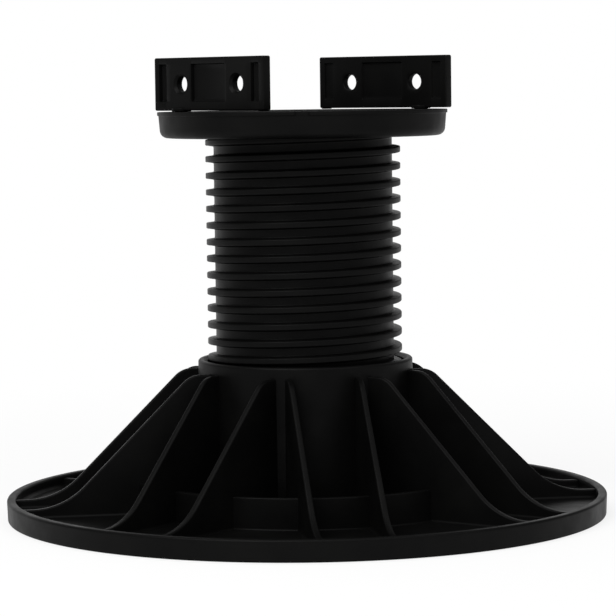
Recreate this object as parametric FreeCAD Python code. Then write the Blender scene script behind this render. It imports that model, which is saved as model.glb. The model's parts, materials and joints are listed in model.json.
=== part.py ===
import FreeCAD, Part
import math
import os

# Adjustable deck pedestal, in millimetres.
# Z is up, the floor is Z = 0, the screw axis is X = Y = 0, and X runs along the joist.

# Foot plate and rim
BASE_DIAMETER = 200.0
PLATE_THICKNESS = 3.0
RIM_HEIGHT = 7.0
RIM_WALL = 2.9
RIM_FLARE = 0.25
RIM_EDGE_RADIUS = 0.8
PLATE_CORNER_RADIUS = 1.5

# Barrel that the screw turns in
BARREL_DIAMETER = 71.6
BARREL_WALL = 2.65
BARREL_HEIGHT = 52.2
BARREL_EDGE_RADIUS = 0.9
BARREL_LEAD_IN = 1.0

# Ribs, in parallel pairs round the barrel
RIB_PAIRS = 8
FIRST_PAIR_ANGLE = 7.5
PAIR_HALF_GAP = 11.4
RIB_THICKNESS = 2.0
RIB_SHOULDER_HEIGHT = 48.5
RIB_SHOULDER_LENGTH = 4.4
RIB_SHOULDER_RADIUS = 8.0
RIB_FOOT_LENGTH = 15.1
RIB_FOOT_HEIGHT = 5.9
RIB_FOOT_RADIUS = 24.0
RIB_EDGE_RADIUS = 0.6

# Brace ring that ties the ribs together low down
BRACE_DIAMETER = 118.0
BRACE_WALL = 2.2
BRACE_HEIGHT = 13.4

# Screw thread shared by the spindle and the barrel
THREAD_DEPTH = 2.75
THREAD_PITCH = 5.5
THREAD_CREST = 1.9
THREAD_FOOT = 2.65
THREAD_CLEARANCE = 0.75
THREAD_ROOTING = 0.6
THREAD_MOUTH_MARGIN = 1.6

# Spindle
SPINDLE_BOTTOM = 30.4
SPINDLE_WALL = 3.0
SPINDLE_END_CHAMFER = 0.8
THREAD_START = 2.4
THREAD_STOP = 2.1
LIP_THICKNESS = 3.0
LIP_WIDTH = 2.8

# Head
HEAD_TOP = 134.5
HEAD_DIAMETER = 96.5
HEAD_THICKNESS = 8.6
HEAD_PLATE = 3.0
HEAD_SKIRT = 3.0
HEAD_LIP_HEIGHT = 1.2
HEAD_LIP_OVERHANG = 0.4
HEAD_DRAFT = 0.6
HEAD_LOWER_RADIUS = 2.6
HEAD_UPPER_RADIUS = 0.2
HEAD_RIBS = 8
HEAD_RIB_THICKNESS = 2.0
HEAD_RIB_DEPTH = 4.6
HEAD_RIB_CLEARANCE = 1.2
INDEX_NOTCH_ANGLE = -47.0
INDEX_NOTCH_WIDTH = 4.2
INDEX_NOTCH_DEPTH = 0.6

# Snap spigot of the head in the spindle
SWIVEL_CLEARANCE = 0.3
SPIGOT_CLEARANCE = 0.5
SPIGOT_WALL = 2.2
SPIGOT_CATCH = 1.2
SPIGOT_TIP = 3.4
SPIGOT_SLOTS = 6
SPIGOT_SLOT_WIDTH = 3.0
SPIGOT_SLOT_STOP = 1.2

# Joist lugs
LUG_LENGTH = 53.8
LUG_THICKNESS = 3.2
LUG_HEIGHT = 17.4
LUG_LIFT = 0.45
LUG_CORNER_RADIUS = 0.6
LUG_EDGE_RADIUS = 0.4
LUG_TOP_FRAME = 2.2
LUG_BOTTOM_FRAME = 3.0
POCKET_CORNER_RADIUS = 0.6
LUG_END_FRAME = 2.4
END_POCKET_WIDTH = 3.6
CENTRE_POCKET_WIDTH = 16.6
OUTER_POCKET_DEPTH = 1.5
INNER_POCKET_DEPTH = 0.6
SCREW_HOLE_DIAMETER = 5.3
SCREW_HOLE_SPACING = 27.5
COUNTERSINK_DIAMETER = 6.9
LUG_FOOT_LENGTH = 2.4

# Pegs that the lugs swivel on
PEG_INSET = 7.75
PEG_ANGLE = 54.15
PEG_DIAMETER = 4.6
PEG_TO_LUG_CENTRE = 15.2
PEG_PAD_DIAMETER = 6.4
PEG_CATCH = 0.7
PEG_TIP = 2.4
PEG_SLOT = 1.0
PAD_CLEARANCE = 0.2
FRONT_LUG_TURN = -4.0
BACK_LUG_TURN = 4.0

# Sizes that follow from those above
BASE_RADIUS = BASE_DIAMETER / 2
BARREL_RADIUS = BARREL_DIAMETER / 2
BORE_RADIUS = BARREL_RADIUS - BARREL_WALL
RIB_SHOULDER_REACH = BARREL_RADIUS + RIB_SHOULDER_LENGTH
CREST_RADIUS = BORE_RADIUS - THREAD_CLEARANCE
ROOT_RADIUS = CREST_RADIUS - THREAD_DEPTH
HEAD_RADIUS = HEAD_DIAMETER / 2
HEAD_CEILING = HEAD_TOP - HEAD_PLATE
SPINDLE_TOP = HEAD_CEILING - SPIGOT_CLEARANCE
SPINDLE_BORE_RADIUS = ROOT_RADIUS - SPINDLE_WALL
LIP_RADIUS = SPINDLE_BORE_RADIUS - LIP_WIDTH
THREAD_BOTTOM = SPINDLE_BOTTOM + THREAD_START
SPINDLE_TURNS = (SPINDLE_TOP - THREAD_STOP - THREAD_BOTTOM) / THREAD_PITCH
GROOVE_BOTTOM = THREAD_BOTTOM + THREAD_PITCH / 2
BARREL_TURNS = (BARREL_HEIGHT - BARREL_LEAD_IN - THREAD_MOUTH_MARGIN - GROOVE_BOTTOM) / THREAD_PITCH
FIRST_HEAD_RIB_ANGLE = PEG_ANGLE - 180 / HEAD_RIBS
PEG_RADIUS = PEG_DIAMETER / 2
PEG_CIRCLE_RADIUS = HEAD_RADIUS - PEG_INSET
LUG_BOTTOM = HEAD_TOP + LUG_LIFT
LUG_MIDDLE = PEG_TO_LUG_CENTRE
LUG_OUTER_END = LUG_MIDDLE - LUG_LENGTH / 2
LUG_INNER_END = LUG_MIDDLE + LUG_LENGTH / 2

ORIGIN = FreeCAD.Vector(0, 0, 0)
UP = FreeCAD.Vector(0, 0, 1)
OVERCUT = 1.0


def turned(shape, degrees):
    """A copy of the shape turned about the screw axis."""
    copy = shape.copy()
    copy.rotate(ORIGIN, UP, degrees)
    return copy


def block(x_range, y_range, z_range):
    """A box given by its lowest and highest coordinate along each axis."""
    size = [high - low for low, high in (x_range, y_range, z_range)]
    corner = FreeCAD.Vector(x_range[0], y_range[0], z_range[0])
    return Part.makeBox(size[0], size[1], size[2], corner)


def tube(outer_radius, inner_radius, bottom, top):
    """An upright tube about the screw axis."""
    foot = FreeCAD.Vector(0, 0, bottom)
    outside = Part.makeCylinder(outer_radius, top - bottom, foot)
    return outside.cut(Part.makeCylinder(inner_radius, top - bottom, foot))


def rounded_outline(corners):
    """A closed face in the XZ plane through (x, z, radius) corners, each rounded by its own radius."""
    points = [FreeCAD.Vector(x, 0, z) for x, z, radius in corners]
    stretches = []
    for index, (x, z, radius) in enumerate(corners):
        here = points[index]
        before = (points[index - 1] - here).normalize()
        after = (points[(index + 1) % len(points)] - here).normalize()
        if radius == 0:
            stretches.append((here, None, here))
            continue
        half_angle = before.getAngle(after) / 2
        setback = radius / math.tan(half_angle)
        bisector = (before + after).normalize()
        crown = here + bisector * (radius / math.sin(half_angle) - radius)
        stretches.append((here + before * setback, crown, here + after * setback))
    edges = []
    for index, (start, crown, end) in enumerate(stretches):
        if crown is not None:
            edges.append(Part.Arc(start, crown, end).toShape())
        following = stretches[(index + 1) % len(stretches)][0]
        edges.append(Part.LineSegment(end, following).toShape())
    return Part.Face(Part.Wire(edges))


def revolved(corners):
    """The solid of a rounded outline turned once about the screw axis."""
    return rounded_outline(corners).revolve(ORIGIN, UP, 360)


def helical_fin(base_radius, tip_radius, base_width, tip_width, start_height, turns):
    """A trapezoid fin wound right-handed about the screw axis from angle 0."""
    path = Part.makeHelix(THREAD_PITCH, THREAD_PITCH * turns, CREST_RADIUS)
    section = Part.makePolygon([
        FreeCAD.Vector(base_radius, 0, -base_width / 2),
        FreeCAD.Vector(tip_radius, 0, -tip_width / 2),
        FreeCAD.Vector(tip_radius, 0, tip_width / 2),
        FreeCAD.Vector(base_radius, 0, base_width / 2),
        FreeCAD.Vector(base_radius, 0, -base_width / 2),
    ])
    fin = Part.Wire(path.Edges).makePipeShell([section], True, True)
    fin.translate(UP * start_height)
    return fin


def make_rib_pair():
    """Two parallel plates that run from the barrel to the rim, either side of the X axis."""
    wall_middle = (BARREL_RADIUS + BORE_RADIUS) / 2
    rim_middle = BASE_RADIUS - RIM_WALL / 2
    inner_end = math.sqrt(wall_middle ** 2 - PAIR_HALF_GAP ** 2)
    outer_end = math.sqrt(rim_middle ** 2 - PAIR_HALF_GAP ** 2)
    plate_middle = PLATE_THICKNESS / 2
    profile = rounded_outline([
        (inner_end, plate_middle, 0),
        (outer_end, plate_middle, 0),
        (outer_end, RIB_FOOT_HEIGHT, 0),
        (outer_end - RIB_FOOT_LENGTH, RIB_FOOT_HEIGHT, RIB_FOOT_RADIUS),
        (RIB_SHOULDER_REACH, RIB_SHOULDER_HEIGHT, RIB_SHOULDER_RADIUS),
        (inner_end, RIB_SHOULDER_HEIGHT, 0),
    ])
    rib = profile.extrude(FreeCAD.Vector(0, RIB_THICKNESS, 0))
    rims = [edge for edge in rib.Edges if edge.BoundBox.YLength < RIB_EDGE_RADIUS < edge.BoundBox.XLength]
    upper = [edge for edge in rims if edge.CenterOfMass.z > plate_middle + RIB_EDGE_RADIUS]
    rib = rib.makeFillet(RIB_EDGE_RADIUS, upper)
    pair = []
    for side in (-1, 1):
        plate = rib.copy()
        plate.translate(FreeCAD.Vector(0, side * PAIR_HALF_GAP - RIB_THICKNESS / 2, 0))
        pair.append(plate)
    return pair


def make_base():
    """Foot plate, rim and barrel in one turned section, with the ribs, brace ring and inner thread."""
    rim_top_radius = BASE_RADIUS + RIM_FLARE
    body = revolved([
        (BORE_RADIUS, 0, 0),
        (BASE_RADIUS, 0, 0),
        (rim_top_radius, RIM_HEIGHT, RIM_EDGE_RADIUS),
        (rim_top_radius - RIM_WALL, RIM_HEIGHT, RIM_EDGE_RADIUS),
        (BASE_RADIUS - RIM_WALL, PLATE_THICKNESS, PLATE_CORNER_RADIUS),
        (BARREL_RADIUS, PLATE_THICKNESS, PLATE_CORNER_RADIUS),
        (BARREL_RADIUS, BARREL_HEIGHT, BARREL_EDGE_RADIUS),
        (BORE_RADIUS + BARREL_LEAD_IN, BARREL_HEIGHT, 0),
        (BORE_RADIUS, BARREL_HEIGHT - BARREL_LEAD_IN, 0),
    ])
    brace_radius = BRACE_DIAMETER / 2
    additions = [tube(brace_radius, brace_radius - BRACE_WALL, PLATE_THICKNESS / 2, BRACE_HEIGHT)]
    for index in range(RIB_PAIRS):
        angle = FIRST_PAIR_ANGLE + index * 360 / RIB_PAIRS
        additions += [turned(rib, angle) for rib in make_rib_pair()]
    tip_width = THREAD_PITCH - THREAD_FOOT - 2 * THREAD_CLEARANCE
    wall_width = THREAD_PITCH - THREAD_CREST - 2 * THREAD_CLEARANCE
    fin = helical_fin(BORE_RADIUS + THREAD_ROOTING, ROOT_RADIUS + THREAD_CLEARANCE,
                      wall_width, tip_width, GROOVE_BOTTOM, BARREL_TURNS)
    return body.fuse(additions).removeSplitter().fuse(fin)


def make_spindle():
    """Hollow screw with an inner lip at its top that the head's spigot snaps under."""
    core = revolved([
        (SPINDLE_BORE_RADIUS, SPINDLE_BOTTOM, 0),
        (ROOT_RADIUS - SPINDLE_END_CHAMFER, SPINDLE_BOTTOM, 0),
        (ROOT_RADIUS, SPINDLE_BOTTOM + SPINDLE_END_CHAMFER, 0),
        (ROOT_RADIUS, SPINDLE_TOP, 0),
        (LIP_RADIUS, SPINDLE_TOP, 0),
        (LIP_RADIUS, SPINDLE_TOP - LIP_THICKNESS, 0),
        (SPINDLE_BORE_RADIUS, SPINDLE_TOP - LIP_THICKNESS, 0),
    ])
    fin = helical_fin(ROOT_RADIUS - THREAD_ROOTING, CREST_RADIUS,
                      THREAD_FOOT, THREAD_CREST, THREAD_BOTTOM, SPINDLE_TURNS)
    return core.fuse(fin)


def make_spigot():
    """Slotted ring under the head whose hooked fingers hold the spindle's lip."""
    outer = LIP_RADIUS - SPIGOT_CLEARANCE
    inner = outer - SPIGOT_WALL
    hook_top = SPINDLE_TOP - LIP_THICKNESS - SPIGOT_CLEARANCE
    tip = hook_top - SPIGOT_TIP
    ring = revolved([
        (inner, HEAD_CEILING + HEAD_PLATE / 2, 0),
        (inner, tip, 0),
        (outer, tip, 0),
        (outer + SPIGOT_CATCH, hook_top - SPIGOT_CATCH, 0),
        (outer + SPIGOT_CATCH, hook_top, 0),
        (outer, hook_top, 0),
        (outer, HEAD_CEILING + HEAD_PLATE / 2, 0),
    ])
    reach = outer + SPIGOT_CATCH + OVERCUT
    slot = block((0, reach), (-SPIGOT_SLOT_WIDTH / 2, SPIGOT_SLOT_WIDTH / 2),
                 (tip - OVERCUT, HEAD_CEILING - SPIGOT_SLOT_STOP))
    slots = [turned(slot, index * 360 / SPIGOT_SLOTS) for index in range(SPIGOT_SLOTS)]
    return ring.cut(slots)


def peg_places():
    """Peg axes of the front lug and the back lug, opposite each other on the head."""
    back = turned(Part.Vertex(PEG_CIRCLE_RADIUS, 0, 0), PEG_ANGLE).Point
    return -back, back


def make_head():
    """Cap with a skirt and ribs below, the snap spigot, and a hole for each lug's peg."""
    bottom = HEAD_TOP - HEAD_THICKNESS
    body_radius = HEAD_RADIUS - HEAD_LIP_OVERHANG
    skirt_radius = body_radius - HEAD_DRAFT
    inner_radius = skirt_radius - HEAD_SKIRT
    cap = revolved([
        (0, HEAD_CEILING, 0),
        (inner_radius, HEAD_CEILING, 0),
        (inner_radius, bottom, 0),
        (skirt_radius, bottom, HEAD_LOWER_RADIUS),
        (body_radius, HEAD_TOP - HEAD_LIP_HEIGHT, 0),
        (HEAD_RADIUS, HEAD_TOP, HEAD_UPPER_RADIUS),
        (0, HEAD_TOP, 0),
    ])
    plate_middle = HEAD_CEILING + HEAD_PLATE / 2
    additions = [make_spigot()]
    rib = block((CREST_RADIUS + HEAD_RIB_CLEARANCE, inner_radius + HEAD_SKIRT / 2),
                (-HEAD_RIB_THICKNESS / 2, HEAD_RIB_THICKNESS / 2),
                (HEAD_CEILING - HEAD_RIB_DEPTH, plate_middle))
    for index in range(HEAD_RIBS):
        additions.append(turned(rib, FIRST_HEAD_RIB_ANGLE + index * 360 / HEAD_RIBS))
    hole_radius = PEG_RADIUS + SWIVEL_CLEARANCE
    cuts = []
    for place in peg_places():
        foot = place + UP * (HEAD_CEILING - OVERCUT)
        cuts.append(Part.makeCylinder(hole_radius, HEAD_PLATE + 2 * OVERCUT, foot))
    notch = block((HEAD_RADIUS - INDEX_NOTCH_DEPTH, HEAD_RADIUS + OVERCUT),
                  (-INDEX_NOTCH_WIDTH / 2, INDEX_NOTCH_WIDTH / 2),
                  (HEAD_TOP - HEAD_LIP_HEIGHT, HEAD_TOP + OVERCUT))
    cuts.append(turned(notch, INDEX_NOTCH_ANGLE))
    return cap.fuse(additions).cut(cuts).removeSplitter()


def make_peg():
    """Round pad and split peg that snaps through the head's plate, about the Z axis."""
    pad_bottom = HEAD_TOP + PAD_CLEARANCE
    pad_radius = PEG_PAD_DIAMETER / 2
    hook_top = HEAD_CEILING - SWIVEL_CLEARANCE
    hook_radius = PEG_RADIUS + PEG_CATCH
    tip = hook_top - PEG_TIP
    peg = revolved([
        (0, LUG_BOTTOM + LUG_LIFT, 0),
        (pad_radius, LUG_BOTTOM + LUG_LIFT, 0),
        (pad_radius, pad_bottom, 0),
        (PEG_RADIUS, pad_bottom, 0),
        (PEG_RADIUS, hook_top, 0),
        (hook_radius, hook_top, 0),
        (hook_radius, hook_top - PEG_CATCH, 0),
        (PEG_RADIUS, tip, 0),
        (0, tip, 0),
    ])
    slot = block((-hook_radius - OVERCUT, hook_radius + OVERCUT), (-PEG_SLOT / 2, PEG_SLOT / 2),
                 (tip - OVERCUT, HEAD_TOP))
    return peg.cut(slot)


def make_lug():
    """Joist lug about its peg axis: an upright plate along X whose outer face looks along -Y."""
    half = LUG_THICKNESS / 2
    top = LUG_BOTTOM + LUG_HEIGHT
    outline = rounded_outline([
        (LUG_OUTER_END, LUG_BOTTOM, LUG_CORNER_RADIUS),
        (LUG_INNER_END, LUG_BOTTOM, LUG_CORNER_RADIUS),
        (LUG_INNER_END, top, LUG_CORNER_RADIUS),
        (LUG_OUTER_END, top, LUG_CORNER_RADIUS),
    ])
    outline.translate(FreeCAD.Vector(0, -half, 0))
    plate = outline.extrude(FreeCAD.Vector(0, LUG_THICKNESS, 0))
    rims = [edge for edge in plate.Edges if edge.BoundBox.YLength < OVERCUT]
    plate = plate.makeFillet(LUG_EDGE_RADIUS, rims)

    cuts = []
    pocket_heights = (LUG_BOTTOM + LUG_BOTTOM_FRAME, top - LUG_TOP_FRAME)
    half_centre = CENTRE_POCKET_WIDTH / 2
    outer_pocket = LUG_OUTER_END + LUG_END_FRAME
    inner_pocket = LUG_INNER_END - LUG_END_FRAME - END_POCKET_WIDTH
    pocket_lengths = [
        (outer_pocket, outer_pocket + END_POCKET_WIDTH),
        (LUG_MIDDLE - half_centre, LUG_MIDDLE + half_centre),
        (inner_pocket, inner_pocket + END_POCKET_WIDTH),
    ]
    pocket_depths = [
        (-half - OVERCUT, OUTER_POCKET_DEPTH - half),
        (half - INNER_POCKET_DEPTH, half + OVERCUT),
    ]
    for length in pocket_lengths:
        for depth in pocket_depths:
            pocket = block(length, depth, pocket_heights)
            corners = [edge for edge in pocket.Edges if edge.tangentAt(edge.FirstParameter).y != 0]
            cuts.append(pocket.makeFillet(POCKET_CORNER_RADIUS, corners))

    hole_radius = SCREW_HOLE_DIAMETER / 2
    sink_radius = COUNTERSINK_DIAMETER / 2
    inwards = FreeCAD.Vector(0, 1, 0)
    for side in (-1, 1):
        centre = FreeCAD.Vector(LUG_MIDDLE + side * SCREW_HOLE_SPACING / 2, -half,
                                LUG_BOTTOM + LUG_HEIGHT / 2)
        cuts.append(Part.makeCylinder(hole_radius, LUG_THICKNESS + OVERCUT, centre, inwards))
        cuts.append(Part.makeCone(sink_radius, hole_radius, sink_radius - hole_radius, centre, inwards))

    foot = block((LUG_INNER_END - LUG_CORNER_RADIUS - LUG_FOOT_LENGTH, LUG_INNER_END - LUG_CORNER_RADIUS),
                 (LUG_EDGE_RADIUS - half, half - LUG_EDGE_RADIUS),
                 (HEAD_TOP + PAD_CLEARANCE, LUG_BOTTOM + LUG_LIFT))
    return plate.cut(cuts).fuse([make_peg(), foot]).removeSplitter()


def main():
    """Builds every piece in its place and writes one file for each."""
    front_peg, back_peg = peg_places()
    front_lug = turned(make_lug(), FRONT_LUG_TURN)
    front_lug.translate(front_peg)
    back_lug = turned(make_lug(), 180 + BACK_LUG_TURN)
    back_lug.translate(back_peg)
    pieces = {
        "base": make_base(),
        "spindle": make_spindle(),
        "head": make_head(),
        "front_lug": front_lug,
        "back_lug": back_lug,
    }
    os.makedirs("parts", exist_ok=True)
    for name, shape in pieces.items():
        shape.exportStep("parts/" + name + ".step")
        print(name, len(shape.Solids), shape.isValid(), round(shape.Volume, 1), shape.BoundBox)


main()
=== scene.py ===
"""Adjustable deck pedestal in black moulded plastic, built round its packed frame.

Every piece is a surface worked out as whole arrays: sections turned about the screw axis, ribs
carried along their sloping edge, threads wound along a helix, and plates whose grid is drawn round
their holes. Lengths are in metres, Z is the screw axis and X runs along the joist.
"""
import json
import math

import bpy
import numpy as np
from bpy.props import FloatProperty, FloatVectorProperty, IntProperty, PointerProperty
from mathutils import Matrix, Vector


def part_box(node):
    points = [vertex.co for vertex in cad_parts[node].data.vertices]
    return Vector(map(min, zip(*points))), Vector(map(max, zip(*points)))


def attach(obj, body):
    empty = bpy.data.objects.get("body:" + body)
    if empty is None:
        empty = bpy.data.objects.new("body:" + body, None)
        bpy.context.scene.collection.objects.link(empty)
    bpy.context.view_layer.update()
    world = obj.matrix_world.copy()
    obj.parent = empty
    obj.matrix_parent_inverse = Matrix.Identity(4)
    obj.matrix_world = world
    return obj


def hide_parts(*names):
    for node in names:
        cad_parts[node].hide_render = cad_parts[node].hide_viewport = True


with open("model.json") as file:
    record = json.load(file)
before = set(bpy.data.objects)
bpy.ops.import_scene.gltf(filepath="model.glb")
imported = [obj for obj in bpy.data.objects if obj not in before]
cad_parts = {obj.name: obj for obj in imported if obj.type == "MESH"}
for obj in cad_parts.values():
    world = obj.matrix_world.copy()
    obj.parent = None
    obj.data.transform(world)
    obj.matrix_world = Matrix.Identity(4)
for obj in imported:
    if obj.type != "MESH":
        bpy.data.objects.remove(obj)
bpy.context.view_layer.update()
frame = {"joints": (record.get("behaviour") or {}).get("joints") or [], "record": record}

bl_info = {
    "name": "Deck Pedestal",
    "version": (1, 0, 0),
    "blender": (4, 5, 0),
    "location": "View3D > Sidebar > Pedestal",
    "description": "Builds an adjustable deck pedestal round its packed frame",
    "category": "Add Mesh",
}

# What the frame gives
RECORD = frame["record"]
JOINTS = {joint["name"]: joint for joint in frame["joints"]}
MOUNTS = {mount["name"]: mount for mount in RECORD["mounts"]}
BASE_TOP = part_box("base")[1]
SPINDLE_LOW, SPINDLE_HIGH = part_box("spindle")
HEAD_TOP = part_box("head")[1]
LUG_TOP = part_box("front_lug")[1].z
FULL_TURN = 2 * math.pi
THREAD_PITCH = RECORD["behaviour"]["couplings"][0]["ratio"] * FULL_TURN

# Fineness of the surfaces
MM = 0.001
ARC_STEPS = 6
FEW_STEPS = 3
THREAD_ARC_STEPS = 4
LINE_STEPS = 16
TURN_STEPS = 192
PEG_STEPS = TURN_STEPS // 3
THREAD_STEPS = 96
SHARP_ANGLE = math.radians(38)
FLAT_MARGIN = 0.3 * MM
FLAT_SHARE = 0.25
WELD = 0.0005 * MM

# Roundings of edges, and the height of a fillet's thin edge above the face that it runs out on
SKIN = 0.015 * MM
HAIR = 0.05 * MM
TINY_EDGE = 0.15 * MM
FINE_EDGE = 0.2 * MM
SMALL_EDGE = 0.3 * MM
SOFT_EDGE = 0.4 * MM

# Shares of a thread's height left at its ends, and of a fillet in its thin apron and in its hollow
END_SHARE = 0.1
APRON_SHARE = 1.2
HOLLOW_SHARE = 0.7

# Blocks of a grid drawn round a hole: rings to the hole and to the block's edge, and half sizes
HOLE_RING = 4
BLOCK_RINGS = 8
BLOCK_SPAN = 2 * BLOCK_RINGS + 1
BLOCK_HALF = 4.6 * MM
PEG_BLOCK_HALF = 3.3 * MM
BLOCK_CLEAR = 1.1

# Middle of the seat's grid: its flat disc, and the rings between that and the pegs
CENTRE_DISC = 2 * MM
CENTRE_RINGS = 4
CENTRE_CLEAR = 1.4

# Walls of the lug's pockets, with the share of the depth at each step, and the edges of its holes
POCKET_STEPS = np.array([-0.28, -0.1, 0.02, 0.14, 0.34]) * MM
POCKET_FALL = np.array([0, 0.08, 0.5, 0.92, 1])
HOLE_EDGE = np.array([0, 0.1, 0.3]) * MM
SINK_STEPS = np.linspace(0, 1, 3)

# Index notch: grid lines, edge and what is kept clear, in half widths, and how much it takes away
NOTCH_LINES = np.array([-1.12, -1, -0.5, 0, 0.5, 1, 1.12])
NOTCH_EDGE = 1.05
NOTCH_CLEAR = 1.3
NOTCH_SHARE = 0.9

# Spans of noise and of upward lean that the plastic's looks follow, and what they bring about
PATCH_SPAN = (0.4, 0.72)
PATCH_SHARE = (0, 0.7)
DRIFT_SPAN = (0.3, 0.7)
GLOSS_STEPS = (-0.06, 0.07)
LEVEL_SPAN = (0.9, 0.99)
BUMP_STRENGTH = 0.6

# Slot, material, step of roughness, share of grain and least roughness of level faces of each body
PLASTICS = {
    "base": ("base_plastic", "foot_black", 0, 1, 0),
    "spindle": ("spindle_plastic", "screw_black", -0.02, 0.7, 0),
    "head": ("head_plastic", "seat_black", 0.03, 1.3, 0.95),
    "front_lug": ("lug_plastic", "lug_black", 0, 1, 0),
    "back_lug": ("lug_plastic", "lug_black", 0, 1, 0),
}

# Light tent: spans of the cosine towards the camera, and each softbox's turn and rise in degrees
FRONT_SPAN = (-0.2, 0.7)
BACKDROP_SPAN = (-0.95, -0.55)
SOFTBOXES = {"key": (-32, 48), "fill": (40, 42), "top": (180, 80)}


def length(name, millimetres, description):
    """A length property, given in millimetres and kept in metres."""
    return FloatProperty(name=name, description=description, default=millimetres * MM, min=0,
                         precision=5, unit="LENGTH")


def angle(name, degrees, description):
    """An angle property, given in degrees and kept in radians."""
    return FloatProperty(name=name, description=description, default=math.radians(degrees),
                         unit="ROTATION")


def whole_number(name, number, description):
    """A property that says how many there are."""
    return IntProperty(name=name, description=description, default=number, min=1)


def factor(name, share, description):
    """A property between 0 and 1."""
    return FloatProperty(name=name, description=description, default=share, min=0, max=1,
                         subtype="FACTOR")


def tint(name, colour, description):
    """A colour property."""
    return FloatVectorProperty(name=name, description=description, default=colour, min=0, max=1,
                               subtype="COLOR")


def brightness(name, level, description):
    """A property for the level of the light from one side."""
    return FloatProperty(name=name, description=description, default=level, min=0)


def power(name, watts, description):
    """A property for the power of a lamp."""
    return FloatProperty(name=name, description=description, default=watts, min=0, unit="POWER")


class FootSizes(bpy.types.PropertyGroup):
    """Foot plate, rim, barrel and brace ring."""

    rim_radius: length("Rim radius", BASE_TOP.x / MM, "Widest reach of the rim")
    rim_flare: length("Rim flare", 0.25, "How far the rim leans out at its top")
    rim_height: length("Rim height", 7, "Top of the rim above the floor")
    rim_wall: length("Rim wall", 2.9, "Thickness of the rim")
    rim_edge: length("Rim edge", 0.8, "Rounding of the rim's upper edges")
    plate: length("Plate", 3, "Thickness of the foot plate")
    plate_corner: length("Plate corner", 1.5, "Hollow corner between plate and wall")
    barrel_radius: length("Barrel radius", 35.8, "Outside of the barrel")
    barrel_wall: length("Barrel wall", 2.65, "Thickness of the barrel")
    barrel_top: length("Barrel top", BASE_TOP.z / MM, "Mouth of the barrel above the floor")
    barrel_edge: length("Barrel edge", 0.9, "Rounding of the barrel's outer edge")
    lead_in: length("Lead-in", 1, "Chamfer inside the barrel's mouth")
    brace_radius: length("Brace radius", 59, "Outside of the low ring that ties the ribs")
    brace_wall: length("Brace wall", 2.2, "Thickness of the brace ring")
    brace_top: length("Brace top", 13.4, "Top of the brace ring above the floor")
    brace_fillet: length("Brace fillet", 0.8, "Hollow fillet of the brace ring on the plate")


class RibSizes(bpy.types.PropertyGroup):
    """Ribs in parallel pairs between the barrel and the rim."""

    pairs: whole_number("Pairs", 8, "Pairs of ribs round the barrel")
    first_angle: angle("First pair", 7.5, "Direction of the first pair")
    half_gap: length("Half gap", 11.4, "From a pair's middle line to each rib's middle")
    thickness: length("Thickness", 1.8, "Rib thickness at the shoulder")
    draft: angle("Draft", 0.25, "Lean of each side that lets the rib leave its mould")
    shoulder_height: length("Shoulder height", 48.5, "Top of the rib where it leaves the barrel")
    shoulder_reach: length("Shoulder reach", 40.2, "Where the level shoulder would meet the slope")
    shoulder_radius: length("Shoulder radius", 8, "Rounding of the shoulder")
    foot_reach: length("Foot reach", 82.8, "Where the slope would meet the level foot")
    foot_height: length("Foot height", 5.9, "Top of the rib's foot above the floor")
    foot_radius: length("Foot radius", 24, "Hollow curve between slope and foot")
    edge_radius: length("Edge radius", 0.6, "Rounding of the upper edge")
    root_fillet: length("Root fillet", 1, "Hollow fillet on the foot plate")


class ScrewSizes(bpy.types.PropertyGroup):
    """Hollow spindle and the thread that it shares with the barrel."""

    bottom: length("Bottom", SPINDLE_LOW.z / MM, "Lower end of the spindle")
    top: length("Top", SPINDLE_HIGH.z / MM, "Upper end of the spindle")
    crest_radius: length("Crest radius", 32.4, "Outside of the thread")
    depth: length("Depth", 2.75, "Height of the thread above its root")
    pitch: length("Pitch", THREAD_PITCH / MM, "Rise of the thread in one turn")
    crest_width: length("Crest width", 1.9, "Width of the thread at its crest")
    foot_width: length("Foot width", 2.65, "Width of the thread at its root")
    clearance: length("Clearance", 0.75, "Gap between the two threads")
    wall: length("Wall", 3, "Wall of the hollow spindle")
    end_chamfer: length("End chamfer", 0.8, "Chamfer of the lower end")
    lip_width: length("Lip width", 2.8, "How far the lip at the top reaches inwards")
    lip_thickness: length("Lip thickness", 3, "Thickness of that lip")
    thread_start: length("Thread start", 2.4, "First thread above the lower end")
    thread_stop: length("Thread stop", 2.1, "Last thread below the upper end")
    mouth_margin: length("Mouth margin", 1.6, "Barrel thread's end below the lead-in")
    crest_rounding: length("Crest rounding", 0.35, "Rounding of the thread's crest")
    root_fillet: length("Root fillet", 0.4, "Hollow fillet at the thread's root")
    rooting: length("Rooting", 0.6, "How deep a thread is sunk in its wall")
    run_out: angle("Run-out", 24, "Angle within which a thread fades at its ends")


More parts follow.
